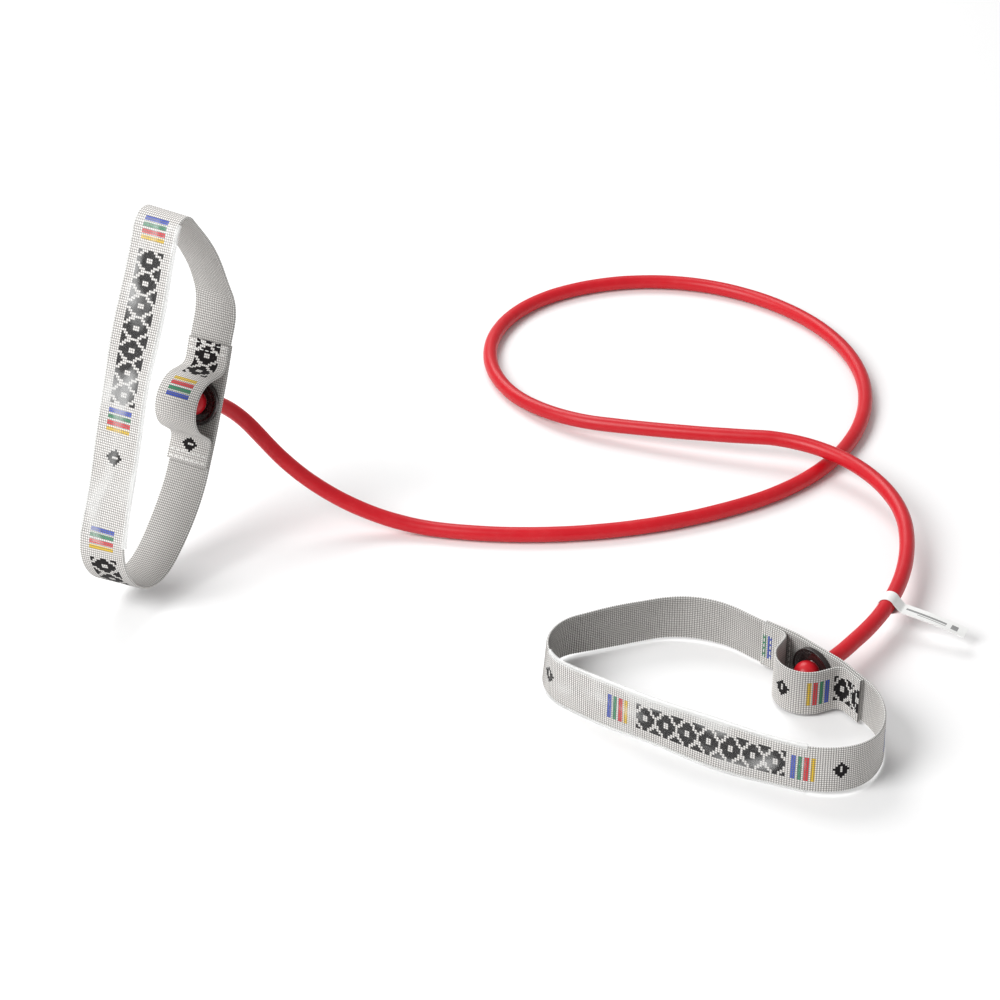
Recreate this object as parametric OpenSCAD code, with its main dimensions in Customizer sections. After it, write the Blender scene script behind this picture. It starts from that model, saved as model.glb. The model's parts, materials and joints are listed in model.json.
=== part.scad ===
/* [Tube] */
// Outside diameter of the rubber tube
tube_od = 9; // [7:0.5:10]
// Wall thickness of the rubber tube
tube_wall = 1.8; // [1:0.1:2.2]
// Height between the two strands' centres where the tube passes over itself
crossing_rise = 11.5; // [11:0.1:14]

/* [Webbing] */
// Width of the hand strap webbing
webbing_w = 28; // [24:1:32]
// Thickness of the hand strap webbing
webbing_t = 1.5; // [1.2:0.1:1.6]
// Length over which the two ends of a hand strap lie on each other
lap = 72; // [70:1:76]
// Diameter of the hole through the lapped ends for the tube
strap_hole_d = 13; // [13:0.5:16]

/* [Ball stop] */
// Diameter of the tube's end, swollen over its plug
ball_d = 15; // [14.8:0.1:15.2]
// Diameter of the hard plug inside the tube's end
plug_d = 11.2; // [10:0.2:11.6]
// Diameter of the dished washer
washer_d = 27; // [24:0.5:27.5]
// Diameter of the washer's hole
washer_hole_d = 12; // [11.8:0.1:12.4]
// Thickness of the washer's floor round the hole
washer_t = 2.2; // [1.8:0.1:2.6]
// Height of the washer's raised rim over its floor
washer_rim = 1.2; // [0.6:0.1:1.6]

/* [Cover strap] */
// Length of each flat foot that is sewn down
foot = 11; // [10:0.5:12]
// Radius of the bend where a foot lifts off
foot_bend_r = 7; // [6:0.5:8]
// Slope of the strap's sides over the ball, in degrees
cover_slope = 72; // [70:1:74]
// How far the strap's middle stands off its feet
cover_rise = 24; // [22:1:26]

/* [Grip sleeve] */
// Width of the sleeve
sleeve_w = 30.6; // [30:0.1:33]
// Wall thickness of the sleeve
sleeve_wall = 0.6; // [0.4:0.1:0.8]
// Gap between the sleeve and the webbing
sleeve_gap = 0.25; // [0.15:0.05:0.4]

/* [Stitching] */
// Length of one stitch
stitch_l = 2.4; // [2:0.1:2.6]
// Thickness of the thread
thread_t = 0.6; // [0.4:0.1:0.8]
// Distance between neighbouring stitches
stitch_pitch = 3.6; // [3.4:0.1:4.2]

/* [Label tag] */
// Width of the tag
tag_w = 9; // [6:0.5:12]
// Length of the tag's flat end
tag_l = 42; // [30:1:60]
// Thickness of the folded tag
tag_t = 0.8; // [0.6:0.1:1]
// Slope of the tag's flat end from level, in degrees
tag_slope = -10; // [-12:1:30]

/* [Hidden] */
$fn = 48;

red = "#d2232f";
grey = "#c9c8c5";
black = "#1d1a1b";
white = "#f3f3f1";
clear = [0.9, 0.92, 0.92, 0.45];

tube_r = tube_od / 2;
bore_r = tube_r - tube_wall;
joint_gap = 0.25;               // clearance in the ball and socket between two tube sections
seam = 0.01;                    // gap between the stretches of one piece, closed by a core
core_l = 1;
core_depth = 0.3;               // how far the core of a tube or a strap lies under its surface
layer_gap = 0.05;               // rest of air between two sewn layers of webbing

// A course is a list of stretches, each [length, 0] for a straight or [radius, turn] for a
// bend, with an optional roll about the run as a third number. A positive turn goes left.
start = [-48.2, -32.0, tube_r]; // where the tube comes down on the floor, from the middle
start_heading = -11.5;
front_course = [[249, 10.5], [279, 30.5]];
loop_course = [[155, 57], [139, 67.5], [120, 57]];
left_bend_course = [[93, 93]];
middle_course = [[108, 37], [790, 7.5]];
right_bend_course = [[87, -42], [106, -38]];
right_run_course = [[187, -35.5]];
right_end_course = [[14, 0], [105, -11], [14, 0]];
left_rise_course = [[126, 42, 83], [110, 12, 84]];
left_end_course = [[14, 0], [35, 67, -162], [12, 0]];
left_hand_roll = -50;           // roll of the left hand loop about its tube

ball_r = ball_d / 2;
seat_gap = 0.2;                 // running clearance between ball and washer
seat_depth = sqrt(pow(ball_r + seat_gap, 2) - pow(washer_hole_d / 2, 2));
washer_floor = -(seat_depth - 0.4);
washer_back = washer_floor - washer_t;
strap_face = washer_back - 0.1; // the hand strap's inner face, which turns on the washer
inner_layer = strap_face - webbing_t / 2;

// The arcs of each hand loop, from the lapped ends round the hand and back to them. Together
// they turn once round, and two short straights, worked out below, close the loop.
left_loop_arcs = [[25, 52], [9, 125], [1250, 8], [33, 139], [92, 36]];
right_loop_arcs = [[44, 68], [27, 121], [500, 16], [38, 155]];
sleeve_lead = 30;               // turn of the far corner that the sleeve also covers
sleeve_tail = 8;                // turn of the near corner that the sleeve also covers

tag_place = -24;                // where the tag sits, as a turn along the right-hand run

// Height of the right hand loop's middle, which stands on the edge of its sleeve
right_hand_z = sleeve_w / 2;

function turned(v, a) = [v.x * cos(a) - v.y * sin(a), v.x * sin(a) + v.y * cos(a)];
function reach(e) = e.y == 0 ? [e.x, 0] : e.x * [sin(abs(e.y)), sign(e.y) * (1 - cos(e.y))];
// Where a flat course ends, seen from its start
function course_end(c, i = 0) =
    i == len(c) ? [0, 0] : reach(c[i]) + turned(course_end(c, i + 1), c[i].y);
function part_of(c, from, to) = [for (i = [from:1:to]) c[i]];

// The straights that close a hand loop: one along the lap, one after the first arc
function cross_straight(arcs) =
    -(webbing_t + layer_gap + course_end(arcs).y) / sin(arcs[0].y);
function lap_straight(arcs) = -lap - course_end(arcs).x - cross_straight(arcs) * cos(arcs[0].y);
function loop_course_of(arcs) = concat(
    [[lap + lap_straight(arcs), 0], arcs[0], [cross_straight(arcs), 0]],
    part_of(arcs, 1, len(arcs) - 1),
    [[lap, 0]]
);

// Moves the children to the far end of one stretch
module step(e) {
    rotate([len(e) > 2 ? e.z : 0, 0, 0])
        if (e.y == 0)
            translate([e.x, 0, 0]) children();
        else
            translate([0, sign(e.y) * e.x, 0])
                rotate([0, 0, e.y])
                    translate([0, -sign(e.y) * e.x, 0]) children();
}

// Moves the children to the end of a course
module after(course, i = 0) {
    if (i < len(course)) step(course[i]) after(course, i + 1) children();
    else children();
}

// Sweeps a flat section along one stretch: its x lies across the run, its y stands up. The
// stretch ends a hair short, so that neighbours never share a face.
module sweep_stretch(e) {
    short_turn = seam / e.x * 180 / PI;
    rotate([len(e) > 2 ? e.z : 0, 0, 0])
        if (e.y == 0)
            rotate([90, 0, 90]) linear_extrude(e.x - seam) children();
        else if (e.y > 0)
            translate([0, e.x, 0]) rotate([0, 0, -90])
                rotate_extrude(angle = e.y - short_turn, $fn = 144)
                    translate([e.x, 0]) mirror([1, 0]) children();
        else
            translate([0, -e.x, 0]) rotate([0, 0, 90 + e.y + short_turn])
                rotate_extrude(angle = -e.y - short_turn, $fn = 144)
                    translate([e.x, 0]) children();
}

// A thinner core that joins two stretches across their seam
module core() {
    translate([-core_l / 2, 0, 0]) rotate([90, 0, 90]) linear_extrude(core_l) children();
}

// Sweeps its first child along a course, with its second child as the core at every seam
module sweep_course(course) {
    for (i = [0:1:len(course) - 1])
        after(part_of(course, 0, i - 1)) {
            sweep_stretch(course[i]) children(0);
            if (i > 0) core() children(1);
        }
}

// Leans the run up by a slope towards one direction, measured from the run
module leaned(direction, slope) {
    rotate([0, 0, direction]) rotate([0, -slope, 0]) rotate([0, 0, -direction]) children();
}

function direction_of(course) = atan2(course_end(course).y, course_end(course).x);
function slope_over(course, rise) = asin(rise / norm(course_end(course)));
function turn_of(course, i = 0) = i == len(course) ? 0 : course[i].y + turn_of(course, i + 1);

middle_slope = slope_over(middle_course, crossing_rise);
right_bend_rise = right_hand_z - tube_r - crossing_rise;
right_bend_slope = slope_over(right_bend_course, right_bend_rise);

// Places along the tube, each with the run along +X
module at_touchdown() { translate(start) rotate([0, 0, start_heading]) children(); }
module at_loop() { at_touchdown() after(front_course) children(); }
module at_left_bend() { at_loop() after(loop_course) children(); }
module at_middle() {
    at_left_bend() after(left_bend_course)
        leaned(direction_of(middle_course), middle_slope) children();
}
module at_right_bend() {
    at_middle() after(middle_course)
        leaned(direction_of(middle_course) - turn_of(middle_course), -middle_slope)
            leaned(direction_of(right_bend_course), right_bend_slope) children();
}
module at_right_run() {
    at_right_bend() after(right_bend_course)
        leaned(direction_of(right_bend_course) - turn_of(right_bend_course), -right_bend_slope)
            children();
}
module at_right_end() { at_right_run() after(right_run_course) children(); }
module at_tag() { at_right_run() after([[right_run_course[0].x, tag_place]]) children(); }
module at_left_rise() { at_touchdown() rotate([0, 0, 180]) children(); }
module at_left_end() { at_left_rise() after(left_rise_course) children(); }
// At a hand, the origin is the ball's middle, +X points into the hand and +Z across the webbing
module at_right_hand() { at_right_end() after(right_end_course) children(); }
module at_left_hand() {
    at_left_end() after(left_end_course) rotate([left_hand_roll, 0, 0]) children();
}

// A length of the tube. Where two sections bend on each other, one has a round end and the
// other a round socket; where they part along the run, both ends are flat.
module tube_section(course, start_round = false, start_socket = true, end_round = true) {
    color(red)
        difference() {
            union() {
                tube_wall_along(course);
                if (start_round) rotate([0, 0, 180]) round_end();
                if (end_round) after(course) round_end();
            }
            if (start_socket) sphere(tube_r + joint_gap);
        }
}

module wall_section(depth = 0) {
    difference() {
        circle(tube_r - depth);
        circle(bore_r + depth);
    }
}

module tube_wall_along(course) {
    sweep_course(course) {
        wall_section();
        wall_section(core_depth);
    }
}

// Half a hollow ball, standing a hair off the tube and joined to it by a core
module round_end() {
    translate([seam, 0, 0])
        rotate([0, 90, 0])
            rotate_extrude()
                intersection() {
                    circle(tube_r - seam);
                    translate([bore_r, 0]) square(tube_r);
                }
    core() wall_section(core_depth);
}

// The last of the tube, with its end swollen over the plug
module tube_end(course) {
    tip_hole_r = 1.6;
    color(red)
        difference() {
            union() {
                tube_wall_along(course);
                after(course)
                    difference() {
                        rotate([0, 90, 0]) sphere(ball_r);
                        translate([-ball_d, 0, 0])
                            rotate([0, 90, 0]) cylinder(h = ball_d, r = bore_r + core_depth);
                        rotate([0, 90, 0]) cylinder(h = ball_d, r = tip_hole_r);
                    }
            }
            after(course) rotate([0, 90, 0]) sphere(plug_d / 2);
        }
}

// A hard ball with a short stem, pushed into the tube's bore
module plug() {
    stem_l = 11;
    color(black) {
        sphere(plug_d / 2 - 0.05);
        translate([-stem_l, 0, 0])
            rotate([0, 90, 0]) cylinder(h = stem_l, r = bore_r - 0.05);
    }
}

// A shallow bowl with a flat back, a raised rim and a hole whose edge seats the ball
module washer() {
    rim_w = 1.4;
    slope_w = 1.8;
    rim_r = washer_d / 2;
    color(black)
        rotate([0, 90, 0])
            rotate_extrude($fn = 96)
                difference() {
                    polygon([
                        [washer_hole_d / 2, washer_back],
                        [rim_r, washer_back],
                        [rim_r, washer_floor + washer_rim],
                        [rim_r - rim_w, washer_floor + washer_rim],
                        [rim_r - rim_w - slope_w, washer_floor],
                        [washer_hole_d / 2, washer_floor]
                    ]);
                    circle(ball_r + seat_gap);
                }
}

module ribbon_section(depth = 0) {
    square([webbing_t - 2 * depth, webbing_w - 2 * depth], center = true);
}

module ribbon_along(course) {
    sweep_course(course) {
        ribbon_section();
        ribbon_section(core_depth);
    }
}

// Moves the children to the start of a hand strap, at the inner end of its lap
module at_strap_start() { translate([inner_layer, lap / 2, 0]) rotate([0, 0, -90]) children(); }

module hand_strap(arcs) {
    color(grey)
        difference() {
            at_strap_start() ribbon_along(loop_course_of(arcs));
            translate([inner_layer - 3 * webbing_t, 0, 0])
                rotate([0, 90, 0]) cylinder(h = 5 * webbing_t, d = strap_hole_d);
        }
}

// The sleeve covers the end of one corner, the long gentle arc and the start of the next corner
module grip_sleeve(arcs) {
    course = loop_course_of(arcs);
    corner = course[3];
    grip = course[4];
    next_corner = course[5];
    before = concat(part_of(course, 0, 2), [[corner.x, corner.y - sleeve_lead]]);
    color(clear)
        at_strap_start() after(before)
            sweep_course([[corner.x, sleeve_lead], grip, [next_corner.x, sleeve_tail]]) {
                sleeve_section();
                sleeve_section(sleeve_wall / 4);
            }
}

module sleeve_section(depth = 0) {
    slot_t = webbing_t + 2 * sleeve_gap;
    difference() {
        square([slot_t + 2 * (sleeve_wall - depth), sleeve_w - 2 * depth], center = true);
        square([slot_t + 2 * depth, sleeve_w - 2 * (sleeve_wall - depth)], center = true);
    }
}

// The cover strap rises from its two feet over the ball. The length of its straight slopes
// and the radius of its crown follow from the height and the width that it has to span.
cover_level = strap_face + layer_gap + webbing_t / 2;
cover_reach = lap / 2 - foot;
slope_l = (cover_rise * sin(cover_slope) - cover_reach * (1 - cos(cover_slope)))
    / (1 - cos(cover_slope));
crown_r = (cover_reach - slope_l * cos(cover_slope)) / sin(cover_slope) - foot_bend_r;

module cover_strap() {
    course = [
        [foot, 0],
        [foot_bend_r, cover_slope],
        [slope_l, 0],
        [crown_r, -2 * cover_slope],
        [slope_l, 0],
        [foot_bend_r, cover_slope],
        [foot, 0]
    ];
    color(grey)
        translate([cover_level, lap / 2, 0]) rotate([0, 0, -90]) ribbon_along(course);
}

// A row of stitches across the webbing, standing through every layer up to the given level
module stitch_row(y, level) {
    proud = 0.25;
    bottom = inner_layer - layer_gap - 1.5 * webbing_t - proud;
    count = floor((webbing_w - 2) / stitch_pitch);
    for (i = [0:1:count - 1])
        translate([bottom, y - thread_t / 2, (i - (count - 1) / 2) * stitch_pitch - stitch_l / 2])
            cube([level + proud - bottom, thread_t, stitch_l]);
}

module cover_stitching() {
    edge = 2;
    row_gap = 4;
    color(white)
        for (side = [-1, 1], row = [0, 1])
            stitch_row(side * (lap / 2 - edge - row * row_gap), cover_level + webbing_t / 2);
}

module lap_stitching() {
    from_hole = 19;
    color(white)
        for (side = [-1, 1])
            stitch_row(side * from_hole, strap_face);
}

// A strip folded round the tube, with its two halves lying together beside it
tag_ring_r = tube_r + 0.35;
module tag_strip() {
    color(white)
        rotate([tag_slope, 0, 0])
            difference() {
                union() {
                    rotate([0, 90, 0])
                        cylinder(h = tag_w, r = tag_ring_r + tag_t / 2, center = true);
                    translate([-tag_w / 2, tube_r, -tag_t / 2]) cube([tag_w, tag_l, tag_t]);
                }
                rotate([0, 90, 0]) cylinder(h = 2 * tag_w, r = tag_ring_r, center = true);
            }
}

module tag_stitches() {
    proud = 0.15;
    from_tube = 3;
    pitch = 2.6;
    length = 1.8;
    color(white)
        rotate([tag_slope, 0, 0])
            for (x = [-pitch, 0, pitch])
                translate([x - length / 2, tag_ring_r + from_tube, -tag_t / 2 - proud])
                    cube([length, thread_t / 2, tag_t + 2 * proud]);
}

module tube_loop() { at_loop() tube_section(loop_course); }
module tube_front_run() { at_touchdown() tube_section(front_course); }
module tube_left_bend() { at_left_bend() tube_section(left_bend_course); }
module tube_middle_run() { at_middle() tube_section(middle_course); }
module tube_right_bend() { at_right_bend() tube_section(right_bend_course); }
module tube_right_run() { at_right_run() tube_section(right_run_course, end_round = false); }
module tube_left_rise() {
    at_left_rise()
        tube_section(left_rise_course, start_round = true, start_socket = false, end_round = false);
}

module left_tube_end() { at_left_end() tube_end(left_end_course); }
module left_plug() { at_left_hand() plug(); }
module left_washer() { at_left_hand() washer(); }
module left_strap() { at_left_hand() hand_strap(left_loop_arcs); }
module left_cover_strap() { at_left_hand() cover_strap(); }
module left_grip_sleeve() { at_left_hand() grip_sleeve(left_loop_arcs); }
module left_cover_stitching() { at_left_hand() cover_stitching(); }
module left_lap_stitching() { at_left_hand() lap_stitching(); }

module right_tube_end() { at_right_end() tube_end(right_end_course); }
module right_plug() { at_right_hand() plug(); }
module right_washer() { at_right_hand() washer(); }
module right_strap() { at_right_hand() hand_strap(right_loop_arcs); }
module right_cover_strap() { at_right_hand() cover_strap(); }
module right_grip_sleeve() { at_right_hand() grip_sleeve(right_loop_arcs); }
module right_cover_stitching() { at_right_hand() cover_stitching(); }
module right_lap_stitching() { at_right_hand() lap_stitching(); }

module label_tag() { at_tag() tag_strip(); }
module label_stitching() { at_tag() tag_stitches(); }

tube_loop();
tube_front_run();
tube_left_rise();
tube_left_bend();
tube_middle_run();
tube_right_bend();
tube_right_run();
left_tube_end();
left_plug();
left_washer();
left_strap();
left_cover_strap();
left_grip_sleeve();
left_cover_stitching();
left_lap_stitching();
right_tube_end();
right_plug();
right_washer();
right_strap();
right_cover_strap();
right_grip_sleeve();
right_cover_stitching();
right_lap_stitching();
label_tag();
label_stitching();
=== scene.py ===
"""The look of a rubber exercise tube with a webbing hand loop on each end, built round the CAD frame."""

import json
import math

import bmesh
import bpy
import numpy as np
from mathutils import Matrix, Vector


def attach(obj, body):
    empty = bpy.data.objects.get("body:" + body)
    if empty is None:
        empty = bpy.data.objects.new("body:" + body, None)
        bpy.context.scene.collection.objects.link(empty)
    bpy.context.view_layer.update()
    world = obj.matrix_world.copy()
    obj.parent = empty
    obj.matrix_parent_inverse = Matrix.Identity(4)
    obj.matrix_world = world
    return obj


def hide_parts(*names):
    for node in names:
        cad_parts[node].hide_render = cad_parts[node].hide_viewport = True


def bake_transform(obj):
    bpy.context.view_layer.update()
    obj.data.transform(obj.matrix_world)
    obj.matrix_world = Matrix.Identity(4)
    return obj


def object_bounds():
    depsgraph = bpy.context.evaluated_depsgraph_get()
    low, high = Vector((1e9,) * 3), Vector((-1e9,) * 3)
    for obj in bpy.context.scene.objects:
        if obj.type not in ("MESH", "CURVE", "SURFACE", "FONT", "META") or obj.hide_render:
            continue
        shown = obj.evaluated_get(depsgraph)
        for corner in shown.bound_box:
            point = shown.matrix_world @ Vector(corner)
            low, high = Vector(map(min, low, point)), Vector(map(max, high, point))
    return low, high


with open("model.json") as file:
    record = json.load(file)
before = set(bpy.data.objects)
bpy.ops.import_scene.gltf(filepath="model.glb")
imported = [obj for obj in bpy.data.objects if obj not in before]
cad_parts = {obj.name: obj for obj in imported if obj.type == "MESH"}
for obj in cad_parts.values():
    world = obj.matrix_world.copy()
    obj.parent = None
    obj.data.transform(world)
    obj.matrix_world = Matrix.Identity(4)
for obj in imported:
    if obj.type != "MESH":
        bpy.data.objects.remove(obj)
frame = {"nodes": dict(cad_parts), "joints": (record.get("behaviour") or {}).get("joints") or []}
cad_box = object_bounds()

# Shapes are worked out in millimetres and turned into metres as each mesh is made.
MM = 0.001
UP = np.array((0.0, 0.0, 1.0))
joints = {j["name"]: j for j in frame["joints"]}

# ---------------------------------------------------------------- driving sizes
TUBE_R = 4.5
BALL_R = 7.5
SEAT_R = BALL_R + 0.2
WEBBING_W = 28.0
WEBBING_T = 1.5
LAYER_GAP = 0.05
LAP = 72.0
STRAP_HOLE_R = 6.5
RIB_PITCH = 1.4
YARN_PITCH = 1.25
RIB_DEPTH = 0.18
SLEEVE_W = 30.6
SLEEVE_WALL = 0.5
SLEEVE_GAP = 0.3
WASHER_R = 13.5
WASHER_HOLE_R = 6.0
WASHER_T = 2.2
WASHER_RIM = 1.2
FOOT = 11.0
FOOT_BEND_R = 7.0
COVER_SLOPE = 72.0
COVER_RISE = 24.0
STITCH_L = 2.4
THREAD_T = 0.6
STITCH_PITCH = 3.6
TAG_W = 9.0
TAG_L = 42.0
TAG_SLOPE = -10.0
FLOOR_CLEAR_M = 0.0005

# Levels along a hand loop's axis, measured from the middle of the ball
WASHER_FLOOR = 0.4 - math.sqrt(SEAT_R**2 - WASHER_HOLE_R**2)
WASHER_BACK = WASHER_FLOOR - WASHER_T
STRAP_FACE = WASHER_BACK - 0.1
INNER_LAYER = STRAP_FACE - WEBBING_T / 2
COVER_LEVEL = STRAP_FACE + LAYER_GAP + WEBBING_T / 2

# A course is a list of stretches: (length, 0) is straight, (radius, turn to the left in
# degrees, roll about the run) is a bend. These are the same courses as the CAD's.
FRONT = [(249, 10.5), (279, 30.5)]
LOOP = [(155, 57), (139, 67.5), (120, 57)]
LEFT_BEND = [(93, 93)]
MIDDLE = [(108, 37), (790, 7.5)]
RIGHT_BEND = [(87, -42), (106, -38)]
RIGHT_RUN = [(187, -35.5)]
RIGHT_END = [(14, 0), (105, -11), (14, 0)]
LEFT_RISE = [(126, 42, 83), (110, 12, 84)]
LEFT_END = [(14, 0), (35, 67, -162), (12, 0)]
LEFT_LOOP_ARCS = [(25, 52), (9, 125), (1250, 8), (33, 139), (92, 36)]
RIGHT_LOOP_ARCS = [(44, 68), (27, 121), (500, 16), (38, 155)]
SLEEVE_LEAD = 30.0
SLEEVE_TAIL = 8.0


# ---------------------------------------------------------------- courses
def unit(v):
    return np.asarray(v, float) / np.linalg.norm(v)


def unit_rows(v):
    return v / np.linalg.norm(v, axis=-1, keepdims=True)


def shift(x=0.0, y=0.0, z=0.0):
    m = np.eye(4)
    m[:3, 3] = x, y, z
    return m


def spin(axis, degrees):
    return np.array(Matrix.Rotation(math.radians(degrees), 4, axis))


def framed(origin, x_axis, z_axis):
    """The place with this origin, x axis and z axis."""
    m = np.eye(4)
    m[:3, 0] = unit(x_axis)
    m[:3, 1] = unit(np.cross(z_axis, x_axis))
    m[:3, 2] = np.cross(m[:3, 0], m[:3, 1])
    m[:3, 3] = origin
    return m


def step(stretch, share=1.0):
    """The move along a share of one stretch."""
    size, turn, roll = (*stretch, 0)[:3]
    if turn == 0:
        move = shift(size * share)
    else:
        side = math.copysign(size, turn)
        move = shift(0, side) @ spin("Z", turn * share) @ shift(0, -side)
    return spin("X", roll) @ move


def length_of(course):
    return sum(s[0] if s[1] == 0 else s[0] * math.radians(abs(s[1])) for s in course)


def run(place, course, spacing=0.5):
    """Frames along a course, and the frame at its end."""
    frames = []
    for stretch in course:
        count = max(2, int(length_of([stretch]) / spacing))
        frames += [place @ step(stretch, i / count) for i in range(count)]
        place = place @ step(stretch)
    return frames, place


def end_of(course):
    return run(np.eye(4), course)[1][:3, 3]


def joint_place(name):
    return np.array(joints[name]["pos_m"]) / MM


def joint_axis(name):
    return np.array(joints[name]["axis"], float)


def aimed(start, end, course):
    """The place at start, level across its run, from which a flat course ends at end."""
    along = unit(end - start)
    reach = end_of(course)
    turn = math.degrees(math.atan2(reach[1], reach[0]))
    return framed(start, along, UP - along * along[2]) @ spin("Z", -turn)


# ---------------------------------------------------------------- meshes
def mesh_object(name, points, faces, material, uvs=None, sharp=50.0):
    """A smooth shaded mesh from points in millimetres. Its rest points are kept for its material."""
    points = np.asarray(points, float)
    mesh = bpy.data.meshes.new(name)
    mesh.from_pydata((points * MM).tolist(), [], faces)
    if uvs is not None:
        mesh.uv_layers.new(name="weave").data.foreach_set("uv", np.asarray(uvs, np.float32).ravel())
    rest = mesh.attributes.new("rest", "FLOAT_VECTOR", "POINT")
    rest.data.foreach_set("vector", points.astype(np.float32).ravel())
    work = bmesh.new()
    work.from_mesh(mesh)
    bmesh.ops.recalc_face_normals(work, faces=work.faces)
    work.to_mesh(mesh)
    work.free()
    mesh.shade_smooth()
    mesh.set_sharp_from_angle(angle=math.radians(sharp))
    mesh.materials.append(material)
    made = bpy.data.objects.new(name, mesh)
    bpy.context.scene.collection.objects.link(made)
    return made


def loft_faces(rows, columns, close_rows=False):
    """Four-cornered faces between neighbouring rings, each ring closed on itself."""
    i = np.arange(rows if close_rows else rows - 1)[:, None]
    j = np.arange(columns)[None, :]
    down = (i + 1) % rows
    right = (j + 1) % columns
    corners = (i * columns + j, i * columns + right, down * columns + right, down * columns + j)
    return np.stack(np.broadcast_arrays(*corners), axis=-1).reshape(-1, 4)


def thread_faces(beads, sides, base):
    """The faces of one stitch, a capped string of rings whose first point is number base."""
    last = base + (beads - 1) * sides
    caps = [[ring_start + j for j in range(sides)] for ring_start in (base, last)]
    return (loft_faces(beads, sides) + base).tolist() + caps


def loft(name, rings, material, close_rows=False, along=None):
    """A closed surface through rings of points. along is each ring's distance, for the streaks."""
    rings = np.asarray(rings, float)
    rows, columns = rings.shape[:2]
    quads = loft_faces(rows, columns, close_rows)
    faces = quads.tolist()
    uvs = None
    if along is not None:
        row, column = quads // columns, quads % columns
        wrapped = np.where((column == 0) & (column[:, :1] == columns - 1), columns, column)
        uvs = np.stack((np.asarray(along)[row], wrapped / columns), axis=-1).reshape(-1, 2)
    if not close_rows:
        faces.append(list(range(columns)))
        faces.append(list(range((rows - 1) * columns, rows * columns)))
        if uvs is not None:
            uvs = np.vstack((uvs, np.zeros((2 * columns, 2))))
    return mesh_object(name, rings.reshape(-1, 3), faces, material, uvs)


def slab(name, outer, inner, uv_outer, uv_inner, uv_wall, kept, material):
    """A closed sheet between two matching grids of points, walled wherever its kept cells stop."""
    rows, columns = outer.shape[:2]
    count = rows * columns
    index = np.arange(count).reshape(rows, columns)
    cell = np.stack((index[:-1, :-1], index[:-1, 1:], index[1:, 1:], index[1:, :-1]), axis=-1)[kept]
    padded = np.pad(kept, 1)
    cell_sides = (
        (-1, 0, (0, 0), (0, 1)),
        (1, 0, (1, 1), (1, 0)),
        (0, -1, (1, 0), (0, 0)),
        (0, 1, (0, 1), (1, 1)),
    )
    walls = []
    for di, dj, a, b in cell_sides:
        open_side = kept & ~padded[1 + di : rows + di, 1 + dj : columns + dj]
        i, j = np.nonzero(open_side)
        walls.append(np.stack((index[i + a[0], j + a[1]], index[i + b[0], j + b[1]]), axis=-1))
    walls = np.vstack(walls)
    wall_faces = np.stack((walls[:, 1], walls[:, 0], walls[:, 0] + count, walls[:, 1] + count), axis=-1)
    faces = np.vstack((cell, cell[:, ::-1] + count, wall_faces))
    flat_outer, flat_inner, flat_wall = (u.reshape(-1, 2) for u in (uv_outer, uv_inner, uv_wall))
    uvs = np.vstack((flat_outer[cell].reshape(-1, 2), flat_inner[cell[:, ::-1]].reshape(-1, 2),
                     flat_wall[wall_faces % count].reshape(-1, 2)))
    used = np.zeros(2 * count, bool)
    used[faces] = True
    renumber = np.cumsum(used) - 1
    points = np.vstack((outer.reshape(-1, 3), inner.reshape(-1, 3)))[used]
    return mesh_object(name, points, renumber[faces].tolist(), material, uvs, sharp=60.0)


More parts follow.
